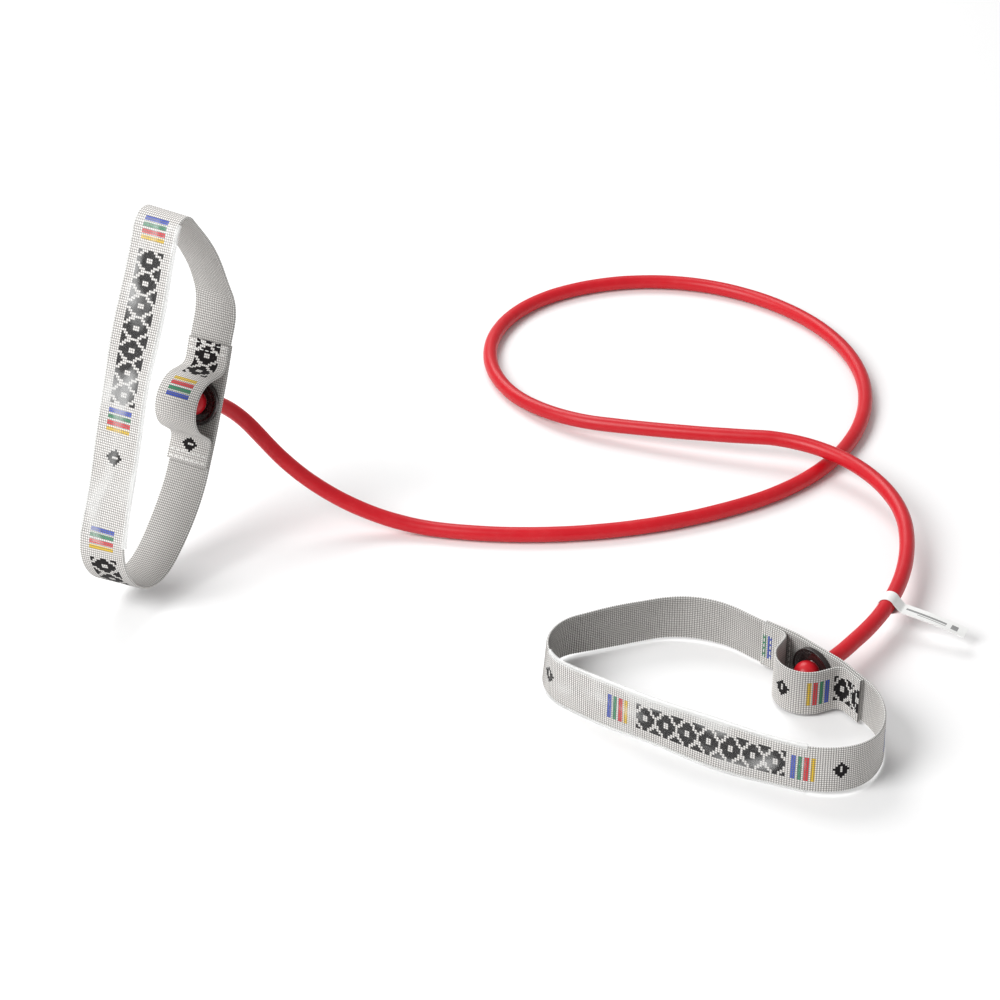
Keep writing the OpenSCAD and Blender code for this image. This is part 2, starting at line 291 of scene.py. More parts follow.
# ---------------------------------------------------------------- materials
class Paint:
    """Short calls that build one node material."""

    def __init__(self, name):
        self.material = bpy.data.materials.new(name)
        self.material.use_nodes = True
        tree = self.material.node_tree
        self.nodes, self.links = tree.nodes, tree.links
        self.nodes.clear()
        self.shader = self.nodes.new("ShaderNodeBsdfPrincipled")
        out = self.nodes.new("ShaderNodeOutputMaterial")
        self.links.new(self.shader.outputs[0], out.inputs["Surface"])

    def put(self, socket, value):
        if isinstance(value, bpy.types.NodeSocket):
            self.links.new(value, socket)
        elif isinstance(value, (tuple, list)) and len(value) == 3 and len(socket.default_value) == 4:
            socket.default_value = (*value, 1.0)
        else:
            socket.default_value = value

    def maths(self, operation, *values):
        node = self.nodes.new("ShaderNodeMath")
        node.operation = operation
        for socket, value in zip(node.inputs, values):
            self.put(socket, value)
        return node.outputs[0]

    def plus(self, a, b):
        return self.maths("ADD", a, b)

    def minus(self, a, b):
        return self.maths("SUBTRACT", a, b)

    def times(self, a, b):
        return self.maths("MULTIPLY", a, b)

    def larger(self, a, b):
        return self.maths("MAXIMUM", a, b)

    def apart(self, a, b):
        return self.maths("ABSOLUTE", self.minus(a, b))

    def above(self, value, low):
        return self.maths("GREATER_THAN", value, low)

    def below(self, value, high):
        return self.maths("LESS_THAN", value, high)

    def between(self, value, low, high):
        return self.times(self.above(value, low), self.below(value, high))

    def wave(self, value, pitch):
        """Swings from 0 to 1 and back once in each pitch."""
        return self.maths("ABSOLUTE", self.maths("SINE", self.times(value, math.pi / pitch)))

    def rest(self):
        node = self.nodes.new("ShaderNodeAttribute")
        node.attribute_name = "rest"
        return node.outputs["Vector"]

    def uv(self):
        """Distance along and across the piece."""
        node = self.nodes.new("ShaderNodeUVMap")
        node.uv_map = "weave"
        split = self.nodes.new("ShaderNodeSeparateXYZ")
        self.links.new(node.outputs["UV"], split.inputs[0])
        return split.outputs["X"], split.outputs["Y"]

    def vector(self, x, y, z):
        node = self.nodes.new("ShaderNodeCombineXYZ")
        for socket, value in zip(node.inputs, (x, y, z)):
            self.put(socket, value)
        return node.outputs[0]

    def noise(self, where, scale, detail=3.0, roughness=0.55):
        node = self.nodes.new("ShaderNodeTexNoise")
        self.put(node.inputs["Vector"], where)
        node.inputs["Scale"].default_value = scale
        node.inputs["Detail"].default_value = detail
        node.inputs["Roughness"].default_value = roughness
        return node.outputs["Fac"]

    def ranged(self, value, low, high, to_low, to_high):
        node = self.nodes.new("ShaderNodeMapRange")
        for socket, given in zip(node.inputs, (value, low, high, to_low, to_high)):
            self.put(socket, given)
        return node.outputs[0]

    def mix(self, share, first, second):
        node = self.nodes.new("ShaderNodeMix")
        node.data_type = "RGBA"
        self.put(node.inputs[0], share)
        self.put(node.inputs[6], first)
        self.put(node.inputs[7], second)
        return node.outputs[2]

    def bump(self, height, distance, strength=1.0):
        node = self.nodes.new("ShaderNodeBump")
        node.inputs["Strength"].default_value = strength
        node.inputs["Distance"].default_value = distance * MM
        self.put(node.inputs["Height"], height)
        self.put(self.shader.inputs["Normal"], node.outputs[0])

    def set(self, **values):
        for name, value in values.items():
            self.put(self.shader.inputs[name.replace("_", " ")], value)
        return self.material


def tube_rubber():
    """Red latex: slow colour drift, a bloom of dust in patches, fine lines drawn along the run."""
    paint = Paint("tube_rubber")
    here = paint.rest()
    along, around = paint.uv()
    drift = paint.noise(here, 0.02, 2.0)
    drawn_out = paint.vector(paint.times(along, 0.02), paint.times(around, 60.0), 0.0)
    lines = paint.noise(drawn_out, 1.0)
    grain = paint.noise(here, 2.6, 4.0)
    patches = paint.noise(here, 0.14, 4.0)
    red = paint.mix(drift, (0.50, 0.003, 0.012), (0.62, 0.006, 0.014))
    dust = paint.ranged(paint.times(patches, grain), 0.26, 0.48, 0.0, 0.08)
    specks = paint.ranged(paint.noise(here, 1.1, 2.0), 0.70, 0.76, 0.0, 0.22)
    colour = paint.mix(paint.larger(dust, specks), red, (0.86, 0.22, 0.22))
    rough = paint.ranged(paint.plus(patches, lines), 0.6, 1.4, 0.30, 0.46)
    paint.bump(paint.plus(paint.times(lines, 0.6), paint.times(grain, 0.4)), 0.05)
    return paint.set(Base_Color=colour, Roughness=rough, Specular_IOR_Level=0.38, Subsurface_Weight=0.05,
                     Subsurface_Radius=(0.004, 0.001, 0.001), Subsurface_Scale=1.0)


# The woven pattern, by distance along the webbing from the start of each repeat
PATTERN_REPEAT = 176.4
BARS_L = 14.0
BAR_W = 2.4
FIGURE_START = 16.8
FIGURE_L = 88.2
FIGURE_PITCH = 12.6
FIGURE_HALF = 8.1
MARK_AT = 134.4
MARK_HALF = 5.0
SELVEDGE_W = 1.3

# The webbing's plain face has its own stretch of the across coordinate, this far up.
PLAIN_FACE = 50.0

BLUE = (0.02, 0.07, 0.50)
GREEN = (0.005, 0.25, 0.11)
RED = (0.70, 0.012, 0.025)
YELLOW = (0.84, 0.55, 0.015)


def woven_band(paint, along, across):
    """The woven decoration: a chain of stepped lozenges between two sets of small colour bars.
    Returns the share of dark yarn, the share of colour and the colour itself."""
    place = paint.maths("FLOORED_MODULO", along, PATTERN_REPEAT)
    cell_x = paint.maths("SNAP", place, RIB_PITCH)
    cell_y = paint.maths("SNAP", across, YARN_PITCH)
    off_middle = paint.apart(cell_y, WEBBING_W / 2 - YARN_PITCH / 2)

    def lozenge(distance, half_l, half_w):
        """How far out of a lozenge's middle a place is: 1 on its outline."""
        return paint.plus(paint.maths("DIVIDE", distance, half_l), paint.maths("DIVIDE", off_middle, half_w))

    in_pitch = paint.maths("FLOORED_MODULO", paint.minus(cell_x, FIGURE_START), FIGURE_PITCH)
    out = lozenge(paint.apart(in_pitch, FIGURE_PITCH / 2), FIGURE_PITCH / 2, FIGURE_HALF)
    corners = paint.times(paint.above(out, 1.42), paint.below(off_middle, FIGURE_HALF))
    chain = paint.larger(paint.between(out, 0.36, 1.02), corners)
    figure = paint.times(chain, paint.between(cell_x, FIGURE_START, FIGURE_START + FIGURE_L))
    mark = paint.between(lozenge(paint.apart(cell_x, MARK_AT), MARK_HALF, MARK_HALF), 0.34, 1.0)
    dark = paint.larger(figure, mark)

    colour = (0.02, 0.02, 0.022)
    coloured = 0.0
    hues = (BLUE, GREEN, RED, YELLOW)
    tall = paint.below(off_middle, FIGURE_HALF - 0.4)
    for first in (0.0, FIGURE_START + FIGURE_L + 3.0):
        for i, hue in enumerate(hues):
            low = first + i * BARS_L / len(hues)
            bar = paint.times(tall, paint.between(place, low, low + BAR_W))
            colour = paint.mix(bar, colour, hue)
            coloured = paint.larger(coloured, bar)
    return dark, coloured, colour


def webbing():
    """Ribbed light grey polyester webbing with painted shade in the pits between its yarns. One face is
    plain, the other has the woven band.
    """
    paint = Paint("webbing")
    here = paint.rest()
    along, side = paint.uv()
    inner = paint.above(side, PLAIN_FACE)
    across = paint.maths("FLOORED_MODULO", side, PLAIN_FACE)
    over = paint.times(paint.wave(along, RIB_PITCH), paint.wave(across, YARN_PITCH))
    fuzz = paint.noise(here, 3.0, 3.0)
    soil = paint.noise(here, 0.05, 4.0)
    printed = paint.mix(soil, (0.72, 0.69, 0.665), (0.86, 0.84, 0.815))
    grey = paint.mix(soil, (0.56, 0.54, 0.52), (0.71, 0.69, 0.665))
    dark, coloured, hue = woven_band(paint, along, across)
    # Painted shade: the pits between the yarn crowns take the shade colour below instead of the face colour.
    unshaded_yarn = paint.ranged(over, 0.08, 0.72, 0.12, 1.0)
    ragged = paint.times(dark, paint.ranged(paint.plus(over, fuzz), 0.30, 0.55, 0.92, 1.0))
    face = paint.mix(ragged, printed, (0.008, 0.006, 0.007))
    face = paint.mix(paint.times(coloured, paint.ranged(over, 0.05, 0.3, 0.93, 1.0)), face, hue)
    face = paint.mix(inner, face, grey)
    selvedge = paint.above(paint.apart(across, WEBBING_W / 2), WEBBING_W / 2 - SELVEDGE_W)
    face = paint.mix(paint.times(selvedge, 0.6), face, (0.80, 0.795, 0.77))
    dark_gap = paint.times(ragged, paint.minus(1.0, inner))
    # The colour of the painted shade in the weave's pits: dark grey, and near black where the print is dark.
    painted_pit_shade = paint.mix(dark_gap, (0.13, 0.125, 0.12), (0.008, 0.007, 0.007))
    shaded = paint.mix(unshaded_yarn, painted_pit_shade, face)
    paint.bump(paint.plus(over, paint.times(fuzz, 0.3)), 0.18, 0.8)
    return paint.set(Base_Color=shaded, Roughness=paint.ranged(fuzz, 0.3, 0.7, 0.70, 0.92),
                     Sheen_Weight=0.05, Sheen_Roughness=0.5, Specular_IOR_Level=0.16)


def sleeve_vinyl():
    """Soft milky vinyl: see-through and glossy, cloudy in patches, with streaks of painted highlight and a
    painted highlight along its edges.
    """
    paint = Paint("sleeve_vinyl")
    here = paint.rest()
    cloud = paint.noise(here, 0.07, 3.0)
    ripple = paint.noise(here, 0.22, 2.0)
    scuff = paint.noise(here, 1.4, 5.0)
    along, across = paint.uv()
    # Painted highlight: the milky white is made more opaque along the pressed edges.
    edge = paint.ranged(paint.maths("ABSOLUTE", across), 12.6, 15.0, 0.0, 1.0)
    # Painted highlight: long streaks of more opaque white that stand in for the gloss along the sleeve.
    drawn_out = paint.vector(paint.times(along, 0.030), paint.times(across, 0.11), 0.0)
    streaky = paint.times(paint.noise(drawn_out, 1.0, 0.6), paint.noise(here, 0.05, 0.6))
    streaks = paint.ranged(streaky, 0.26, 0.46, 0.0, 0.20)
    alpha = paint.plus(paint.plus(streaks, 0.02), paint.times(edge, 0.38))
    paint.bump(paint.plus(paint.times(ripple, 0.9), paint.times(scuff, 0.05)), 1.2, 0.5)
    return paint.set(Base_Color=paint.mix(cloud, (0.88, 0.89, 0.88), (0.95, 0.95, 0.94)), Alpha=alpha,
                     Roughness=paint.ranged(scuff, 0.3, 0.8, 0.10, 0.26), Specular_IOR_Level=0.6,
                     Coat_Weight=0.6, Coat_Roughness=0.12)


def washer_plastic():
    """Glossy black moulding with hairline rub marks and a faint brown cast."""
    paint = Paint("washer_plastic")
    here = paint.rest()
    rubs = paint.noise(here, 1.2, 6.0, 0.7)
    patch = paint.noise(here, 0.25, 3.0)
    brown = paint.ranged(patch, 0.4, 0.75, 0.0, 0.5)
    colour = paint.mix(brown, (0.014, 0.009, 0.009), (0.045, 0.032, 0.030))
    paint.bump(rubs, 0.03, 0.6)
    return paint.set(Base_Color=colour, Roughness=paint.ranged(rubs, 0.3, 0.7, 0.16, 0.36),
                     Coat_Weight=0.3, Coat_Roughness=0.1)


def plug_plastic():
    """Plain black moulding, seen only down the small hole in a ball."""
    paint = Paint("plug_plastic")
    place = paint.nodes.new("ShaderNodeTexCoord").outputs["Object"]
    grain = paint.noise(place, 900.0, 3.0)
    paint.bump(grain, 0.03, 0.6)
    return paint.set(Base_Color=paint.mix(grain, (0.02, 0.02, 0.02), (0.06, 0.06, 0.058)),
                     Roughness=paint.ranged(grain, 0.3, 0.7, 0.45, 0.65))


def sewing_thread():
    """White twisted polyester thread."""
    paint = Paint("sewing_thread")
    here = paint.rest()
    twist = paint.nodes.new("ShaderNodeTexWave")
    paint.put(twist.inputs["Vector"], here)
    twist.bands_direction = "DIAGONAL"
    twist.inputs["Scale"].default_value = 1.1
    twist.inputs["Distortion"].default_value = 0.6
    fuzz = paint.noise(here, 4.0, 3.0)
    paint.bump(paint.plus(twist.outputs["Fac"], fuzz), 0.06)
    return paint.set(Base_Color=paint.mix(twist.outputs["Fac"], (0.70, 0.70, 0.68), (0.90, 0.90, 0.88)),
                     Roughness=paint.ranged(fuzz, 0.3, 0.7, 0.5, 0.7), Sheen_Weight=0.2)


def tag_satin():
    """White satin label ribbon with plain grey rules woven in."""
    paint = Paint("tag_satin")
    here = paint.rest()
    along, across = paint.uv()
    sheen = paint.maths("SINE", paint.times(across, 2 * math.pi / 0.35))
    threads = paint.maths("SINE", paint.times(along, 2 * math.pi / 0.5))
    soil = paint.noise(here, 0.3, 3.0)
    rules = 0.0
    for start, stop, low, high in ((12.0, 36.0, -1.2, 0.4), (12.0, 29.0, 1.2, 1.8), (5.0, 9.0, -2.0, 2.0)):
        rule = paint.times(paint.between(along, start, stop), paint.between(across, low, high))
        rules = paint.larger(rules, rule)
    white = paint.mix(soil, (0.84, 0.84, 0.82), (0.92, 0.92, 0.91))
    paint.bump(paint.plus(sheen, threads), 0.03, 0.6)
    return paint.set(Base_Color=paint.mix(paint.times(rules, 0.8), white, (0.10, 0.10, 0.105)),
                     Roughness=paint.ranged(soil, 0.3, 0.7, 0.36, 0.5), Anisotropic=0.5, Sheen_Weight=0.3)


RUBBER = tube_rubber()
WEBBING = webbing()
VINYL = sleeve_vinyl()
WASHER = washer_plastic()
PLUG = plug_plastic()
THREAD = sewing_thread()
SATIN = tag_satin()


# ---------------------------------------------------------------- the tube
# The end of a ball as (distance from its middle, radius): a rounded lip, then the hole to the plug
TIP_PROFILE = [(7.139, 2.3), (7.16, 2.05), (7.08, 1.8), (6.85, 1.65), (6.4, 1.6), (5.2, 1.6)]
POINTS_ROUND = 36


class Centreline:
    """The tube's middle line from the left ball to the right ball, with smooth frames along it."""

    def __init__(self):
        touch = joint_place("left_lift")
        left = framed(touch, np.cross(UP, joint_axis("left_lift")), UP)
        left_frames, left_ball = run(left, LEFT_RISE + LEFT_END)
        points = [left_ball[:3, 3]] + [f[:3, 3] for f in reversed(left_frames)]
        self.joint_at = {}
        stops = ["left_lift", "front_run_bend", "left_bend_turn", "middle_turn", "right_bend_turn",
                 "right_lift", "right_hand_tilt"]
        courses = [FRONT, LOOP, LEFT_BEND, MIDDLE, RIGHT_BEND, RIGHT_RUN + RIGHT_END]
        for start, end, course in zip(stops, stops[1:], courses):
            place = aimed(joint_place(start), joint_place(end), course)
            frames, _ = run(place, course)
            self.joint_at[start] = len(points)
            points += [f[:3, 3] for f in frames]
        points.append(joint_place("right_hand_tilt"))
        points = self.eased(np.array(points))
        self.points = points
        steps = np.linalg.norm(np.diff(points, axis=0), axis=1)
        self.travel = np.concatenate(([0.0], np.cumsum(steps)))
        self.length = self.travel[-1]
        self.joint_at = {name: self.travel[i] for name, i in self.joint_at.items()}
        self.joint_at["left_stretch"] = length_of(LEFT_END)
        self.joint_at["right_stretch"] = self.length - length_of(RIGHT_END)
        tangents = np.gradient(points, self.travel, axis=0)
        self.tangents = tangents / np.linalg.norm(tangents, axis=1)[:, None]
        side = unit(np.cross(self.tangents[0], UP))
        sides = []
        for t in self.tangents:
            side = unit(side - t * (side @ t))
            sides.append(side)
        self.sides = np.array(sides)

    @staticmethod
    def eased(points, reach=12):
        """Rounds off the slight kinks where two courses meet."""
        weights = np.exp(-0.5 * (np.arange(-reach, reach + 1) / (reach / 2.5)) ** 2)
        weights /= weights.sum()
        padded = np.vstack([points[:1]] * reach + [points] + [points[-1:]] * reach)
        smooth = np.array([np.convolve(padded[:, k], weights, "valid") for k in range(3)]).T
        smooth[: 2 * reach] = points[: 2 * reach]
        smooth[-2 * reach :] = points[-2 * reach :]
        return smooth

    def at(self, travel):
        def read(values):
            return np.array([np.interp(travel, self.travel, values[:, k]) for k in range(3)]).T

        tangent = read(self.tangents)
        tangent /= np.linalg.norm(tangent, axis=-1, keepdims=True)
        side = read(self.sides)
        side -= tangent * (side * tangent).sum(-1, keepdims=True)
        side /= np.linalg.norm(side, axis=-1, keepdims=True)
        return read(self.points), tangent, side


line = Centreline()


def ring(middle, side, other, radius):
    angle = np.linspace(0, 2 * math.pi, POINTS_ROUND, endpoint=False)
    return middle + radius * (np.outer(np.cos(angle), side) + np.outer(np.sin(angle), other))


def tube_radius(from_ball):
    """The tube's radius by distance from the nearer ball's middle, swelling softly into the ball."""
    ball = math.sqrt(max(BALL_R**2 - from_ball**2, 0.0))
    softness = 0.28
    wave = 0.035 * math.sin(from_ball * 0.21) * math.sin(from_ball * 0.047 + 1.3)
    return softness * math.log(math.exp((TUBE_R + wave) / softness) + math.exp(ball / softness))


def tube_piece(name, start, stop, tip_at=None):
    """One length of the tube. tip_at says at which end it closes over the plug."""
    spacing = 1.6
    fine = 0.4
    near = 14.0
    travel = np.linspace(start, stop, max(3, int((stop - start) / spacing)))
    if tip_at == "start":
        travel = np.concatenate((np.arange(0, near, fine), travel[travel > near + fine]))
    if tip_at == "stop":
        travel = np.concatenate((travel[travel < stop - near - fine], stop - np.arange(0, near, fine)[::-1]))
    middles, tangents, sides = line.at(travel)
    others = np.cross(tangents, sides)
    rings = []
    along = list(travel)
    for s, middle, side, other in zip(travel, middles, sides, others):
        from_ball = min(s, line.length - s)
        radius = tube_radius(from_ball) if from_ball > 0 else BALL_R
        rings.append(ring(middle, side, other, radius))
    if tip_at:
        last = 0 if tip_at == "start" else -1
        outward = -tangents[0] if tip_at == "start" else tangents[-1]
        cap_angles = np.radians(np.arange(4, 70, 4))
        profile = [(BALL_R * math.sin(a), BALL_R * math.cos(a)) for a in cap_angles] + TIP_PROFILE
        tip = [ring(middles[last] + outward * x, sides[last], others[last], r) for x, r in profile]
        end_travel = [travel[last] + (x if tip_at == "stop" else -x) for x, r in profile]
        rings = tip[::-1] + rings if tip_at == "start" else rings + tip
        along = end_travel[::-1] + along if tip_at == "start" else along + end_travel
    return loft(name, rings, RUBBER, along=along)


def build_tube():
    """Eight lengths, each over one joint and meeting the next inside a rigid link."""
    at = line.joint_at
    rise_split = at["left_lift"] - 26.0

    def halfway(a, b):
        return (at[a] + at[b]) / 2

    splits = [0.0, rise_split, halfway("left_lift", "front_run_bend"),
              halfway("front_run_bend", "left_bend_turn"), halfway("left_bend_turn", "middle_turn"),
              halfway("middle_turn", "right_bend_turn"), halfway("right_bend_turn", "right_lift"),
              halfway("right_lift", "right_stretch"), line.length]
    # Joint, the bodies on its two sides, where the blend starts and ends, and the CAD it replaces
    lengths = [
        ("left_stretch", "left_tube_end", "left_rise", -22.0, 72.0, ["left_tube_end"]),
        ("left_lift", "left_rise", "front_run", -22.0, 26.0, ["tube_left_rise"]),
        ("front_run_bend", "front_run", "loop", -38.0, 38.0, ["tube_front_run"]),
        ("left_bend_turn", "loop", "left_bend", -34.0, 34.0, ["tube_loop"]),
        ("middle_turn", "left_bend", "middle_run", -34.0, 34.0, ["tube_left_bend"]),
        ("right_bend_turn", "middle_run", "right_bend", -34.0, 34.0, ["tube_middle_run"]),
        ("right_lift", "right_bend", "right_run", -34.0, 34.0, ["tube_right_bend"]),
        ("right_stretch", "right_run", "right_tube_end", -24.0, 28.0, ["tube_right_run", "right_tube_end"]),
    ]
    for i, (joint, first, second, before, behind, nodes) in enumerate(lengths):
        tip = {0: "start", len(lengths) - 1: "stop"}.get(i)
        piece = tube_piece("rubber_tube_at_" + joint, splits[i], splits[i + 1], tip)
        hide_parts(*nodes)
        start, end = (Vector(line.at(at[joint] + d)[0] * MM) for d in (before, behind))
        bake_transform(piece)


# ---------------------------------------------------------------- the hand loops
def hand_place(side):
    """The ball's middle, with x into the hand loop and z across its webbing."""
    ball = joint_place(side + "_hand_tilt")
    return framed(ball, joint_axis(side + "_hand_swivel"), joint_axis(side + "_hand_tilt"))


def loop_course(arcs):
    """The strap's course: two straights are worked out so that the lapped ends lie on each other."""
    reach = end_of(arcs)
    turn = math.radians(arcs[0][1])
    cross = -(WEBBING_T + LAYER_GAP + reach[1]) / math.sin(turn)
    lap_straight = -LAP - reach[0] - cross * math.cos(turn)
    return [(LAP + lap_straight, 0), arcs[0], (cross, 0), *arcs[1:], (LAP, 0)]


def strap_frames(course, start, spacing=RIB_PITCH / 4, swell=None):
    """Flat places along a strap's course: the point, and the direction away from the hand. swell is
    (middle, reach, height): where a slack straight bows out, and by how much."""
    frames, last = run(start, course, spacing)
    frames = np.array(frames + [last])
    points, away = frames[:, :3, 3], -frames[:, :3, 1]
    if swell:
        middle, reach, height = swell
        travel = np.linspace(0, length_of(course), len(points))
        near = np.clip((travel - middle) / reach, -1, 1)
        points = points + away * (height * (1 - near**2) ** 2)[:, None]
        run_along = unit_rows(np.gradient(points, axis=0))
        away = np.stack((run_along[:, 1], -run_along[:, 0], 0 * near), axis=-1)
    return points, away


def across_columns():
    """Places across the webbing, closer together at its two edges."""
    edge = WEBBING_W / 2
    inner = np.linspace(-(edge - 1.2), edge - 1.2, 23)
    outer = edge - np.array([0.8, 0.45, 0.18, 0.0])
    return np.concatenate((-outer[::-1], inner, outer))


def half_thickness(across):
    """Half the webbing's thickness, round at its woven edges."""
    round_w = 0.7
    over = np.clip((np.abs(across) - (WEBBING_W / 2 - round_w)) / round_w, 0, 1)
    return WEBBING_T / 2 * np.maximum(np.sqrt(1 - over**2), 0.12)


def sway(travel, total, seed):
    """How far the webbing leans off its flat course: a share of its width and a shift across, both
    nothing over the lapped ends."""
    held = LAP + 6
    grow = 45
    free = np.clip((travel - held) / grow, 0, 1) * np.clip((total - held - travel) / grow, 0, 1)
    free = free * free * (3 - 2 * free)
    lean = 0.05 * np.sin(travel * 0.043 + seed) + 0.035 * np.sin(travel * 0.091 + 2.1 * seed) - 0.05
    drift = 0.45 * np.sin(travel * 0.061 + 0.7 * seed)
    return lean * free, drift * free


def bowed(points, bow):
    """Bends hand-place points, in step, so that the lapped ends wrap a little round the washer's back."""
    flat_half = 13.0
    softness = 24.0
    fade_from = 8.0
    fade_l = 55.0
    y = np.maximum(np.abs(points[..., 1]) - flat_half, 0) / softness
    near = 1 - np.clip((points[..., 0] - fade_from) / fade_l, 0, 1)
    near = near * near * (3 - 2 * near)
    moved = points.copy()
    moved[..., 0] += bow * y**2 / (1 + y**2) * near
    return moved


def strap(name, place, course, start, pattern_from, flip=1.0, seed=None, hole=True, bow=0.0, swell=None):
    """A length of webbing with a rib at every pick. flip says which face has the woven band: 1 is
    the face away from the hand."""
    points, away = strap_frames(course, start, swell=swell)
    total = length_of(course)
    travel = np.linspace(0, total, len(points))
    across = across_columns()
    rib = 0.5 + 0.5 * np.cos(2 * math.pi * travel / RIB_PITCH)
    lean, drift = sway(travel, total, seed) if seed is not None else (0 * travel, 0 * travel)
    y_at, z_at = np.broadcast_arrays(points[:, 1][:, None], across[None, :])
    kept = np.ones((len(travel) - 1, len(across) - 1), bool)
    if hole:
        off = np.hypot(y_at, z_at)
        inside = (off < STRAP_HOLE_R) & (np.abs(points[:, 0] - INNER_LAYER) < 2.5 * WEBBING_T)[:, None]
        kept = ~(inside[:-1, :-1] & inside[1:, :-1] & inside[:-1, 1:] & inside[1:, 1:])
        push = np.where(inside, STRAP_HOLE_R / np.maximum(off, 1e-6), 1.0)
    else:
        push = np.ones_like(y_at)
    half = half_thickness(across)
    body = half[None, :] - RIB_DEPTH * rib[:, None] * (half > 0.3)[None, :]
    grids = []
    for side in (1.0, -1.0):
        offset = side * body + lean[:, None] * across[None, :]
        grid = points[:, None, :] + away[:, None, :] * offset[:, :, None]
        grid[:, :, 1] += y_at * (push - 1)
        grid[:, :, 2] += across[None, :] * push + drift[:, None]
        grids.append(bowed(grid, bow) @ place[:3, :3].T + place[:3, 3])
    u = np.broadcast_to((travel + pattern_from)[:, None], y_at.shape)
    v = np.broadcast_to(across + WEBBING_W / 2, y_at.shape)
    banded = np.stack((u, v), axis=-1)
    plain = np.stack((u, v + PLAIN_FACE), axis=-1)
    wall = np.stack((u, 0 * v + WEBBING_W + PLAIN_FACE - 0.3), axis=-1)
    uvs = (banded, plain) if flip > 0 else (plain, banded)
    made = slab(name, grids[0], grids[1], *uvs, wall, kept, WEBBING)
    return made


def strap_start(level):
    return shift(level, LAP / 2, 0) @ spin("Z", -90)


def grip_sleeve(name, place, arcs, seed, bow):
    """A flattened clear tube over the far side of the loop, with thin pressed edges."""
    course = loop_course(arcs)
    corner, grip, after = course[3], course[4], course[5]
    before = [*course[:3], (corner[0], corner[1] - SLEEVE_LEAD)]
    covered = [(corner[0], SLEEVE_LEAD), grip, (after[0], SLEEVE_TAIL)]
    start = run(strap_start(INNER_LAYER), before)[1]
    points, away = strap_frames(covered, start, 1.4)
    from_start = length_of(before)
    travel = from_start + np.linspace(0, length_of(covered), len(points))
    lean, drift = sway(travel, length_of(course), seed)
    half_w = SLEEVE_W / 2
    turn = np.linspace(0, 2 * math.pi, 56, endpoint=False)
    width = np.sign(np.cos(turn)) * np.abs(np.cos(turn)) ** 0.55
    rise = np.sign(np.sin(turn)) * np.abs(np.sin(turn)) ** 0.55
    layers = []
    for inset in (0.0, SLEEVE_WALL):
        half_t = WEBBING_T / 2 + SLEEVE_GAP + SLEEVE_WALL - inset
        a = width * (half_w - inset)
        lift = rise * half_t
        ripple = 0.16 * np.sin(travel[:, None] * 0.34 + 0.12 * a[None, :]) * np.abs(rise)[None, :]
        outward = np.sign(rise)[None, :] * np.abs(ripple)
        offset = lift[None, :] + outward + lean[:, None] * a[None, :]
        rings = points[:, None, :] + away[:, None, :] * offset[:, :, None]
        rings[:, :, 2] += a[None, :] + drift[:, None]
        layers.append(bowed(rings, bow) @ place[:3, :3].T + place[:3, 3])
    rings = np.vstack((layers[0], layers[1][::-1]))
    rows, columns = rings.shape[:2]
    quads = loft_faces(rows, columns, close_rows=True)
    uv_row = np.concatenate((travel, travel[::-1]))
    uvs = np.stack((uv_row[quads // columns], (width * half_w)[quads % columns]), axis=-1).reshape(-1, 2)
    made = mesh_object(name, rings.reshape(-1, 3), quads.tolist(), VINYL, uvs)
    return made


def rounded(profile, reach):
    """A closed outline with every corner cut to a short curve."""
    out = []
    count = len(profile)
    for i, corner in enumerate(profile):
        corner = np.array(corner, float)
        before, behind = (np.array(profile[k % count], float) for k in (i - 1, i + 1))
        near = []
        for p in (before, behind):
            share = min(0.45, reach / np.linalg.norm(p - corner))
            near.append(corner + (p - corner) * share)
        for t in np.linspace(0, 1, 5):
            out.append((1 - t) ** 2 * near[0] + 2 * t * (1 - t) * corner + t**2 * near[1])
    return np.array(out)


def washer(name, place):
    """A shallow bowl with a raised rim and a seat for the ball."""
    rim_w = 1.4
    slope_w = 1.8
    seat = [(SEAT_R * math.cos(a), SEAT_R * math.sin(a)) for a in
            np.linspace(-math.acos(WASHER_HOLE_R / SEAT_R), math.asin(WASHER_FLOOR / SEAT_R), 4)]
    outline = [(WASHER_HOLE_R, WASHER_BACK), (WASHER_R - 0.5, WASHER_BACK), (WASHER_R, WASHER_BACK + 0.5),
               (WASHER_R, WASHER_FLOOR + WASHER_RIM), (WASHER_R - rim_w, WASHER_FLOOR + WASHER_RIM),
               (WASHER_R - rim_w - slope_w, WASHER_FLOOR), (WASHER_HOLE_R + 0.8, WASHER_FLOOR), *seat[::-1]]
    profile = rounded(outline, 0.3)
    angle = np.linspace(0, 2 * math.pi, 120, endpoint=False)
    rings = np.array([[(x, r * math.cos(a), r * math.sin(a)) for r, x in profile] for a in angle])
    rings = rings @ place[:3, :3].T + place[:3, 3]
    made = loft(name, rings, WASHER, close_rows=True)
    return made


def stitches(name, place, rows, bow):
    """Small arched stitches on both faces. Each row is (y, top level, bottom level)."""
    count = int((WEBBING_W - 2) // STITCH_PITCH)
    beads = 9
    sides = 8
    length = STITCH_L + 0.5
    arch = 0.24
    sink = 0.12
    points = []
    faces = []
    t = np.linspace(-1, 1, beads)
    for row, (y, top, bottom) in enumerate(rows):
        for i in range(count):
            middle = (i - (count - 1) / 2) * STITCH_PITCH
            for level, outward in ((top, 1.0), (bottom, -1.0)):
                tilt = 0.10 * math.sin(7.0 * i + 3.0 * row + outward)
                radius = THREAD_T * 0.52 * (1 - np.abs(t) ** 5 * 0.9)
                height = level + outward * (arch * (1 - t**2) - sink)
                base = len(points)
                for k in range(beads):
                    for j in range(sides):
                        a = 2 * math.pi * j / sides
                        points.append((height[k] + radius[k] * math.cos(a) * 0.8,
                                       y + tilt * t[k] + radius[k] * math.sin(a),
                                       middle + t[k] * length / 2))
                faces += thread_faces(beads, sides, base)
    points = bowed(np.array(points), bow) @ place[:3, :3].T + place[:3, 3]
    made = mesh_object(name, points, faces, THREAD)
    return made


